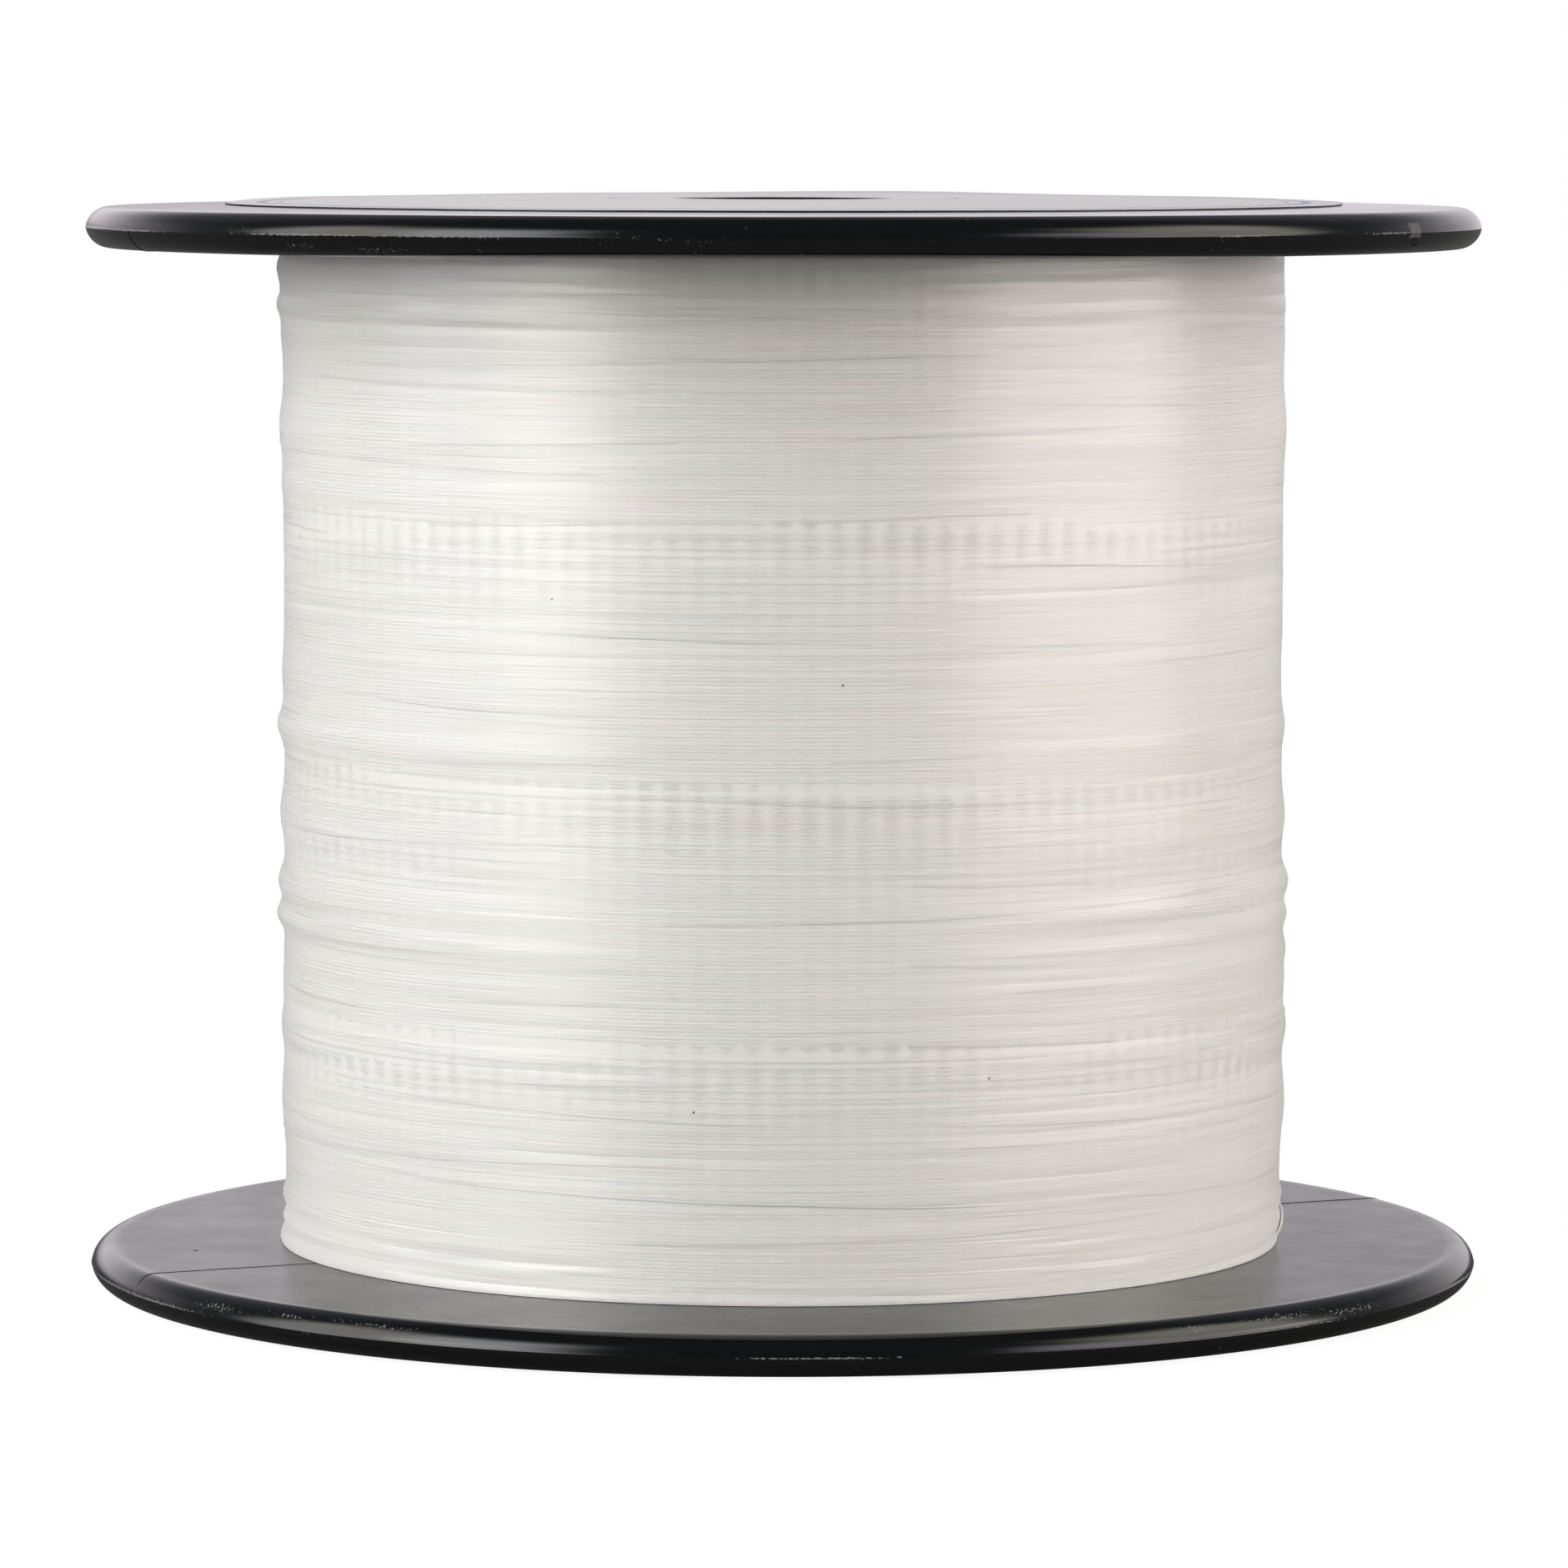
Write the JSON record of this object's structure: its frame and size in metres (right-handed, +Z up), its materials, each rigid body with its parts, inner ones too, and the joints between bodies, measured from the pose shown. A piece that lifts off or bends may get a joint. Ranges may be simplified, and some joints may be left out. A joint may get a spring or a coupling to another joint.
{
  "type": "fishing line spool",
  "caption": "Black moulded spool with round flanges and a spindle bore, wound full of clear nylon line, with a plain paper label on its end faces.",
  "frame": {"origin": "centre of the face that the spool stands on, on the spindle axis", "axes": "+Z up along the spindle axis; +X and +Y lie in the face that it stands on"},
  "size_m": [0.14, 0.14, 0.1088],
  "materials": {
    "body_plastic": "glossy black moulding, lightly scuffed",
    "line_nylon": "clear white nylon, glossy",
    "label_paper": "coated white paper",
    "start_tape": "clear adhesive film, yellowed"
  },
  "bodies": {
    "root": {"spool_body": "body_plastic", "line_inner_layers": "line_nylon", "line_outer_layer": "line_nylon", "top_label": "label_paper", "bottom_label": "label_paper", "start_tape": "start_tape"}
  },
  "joints": []
}
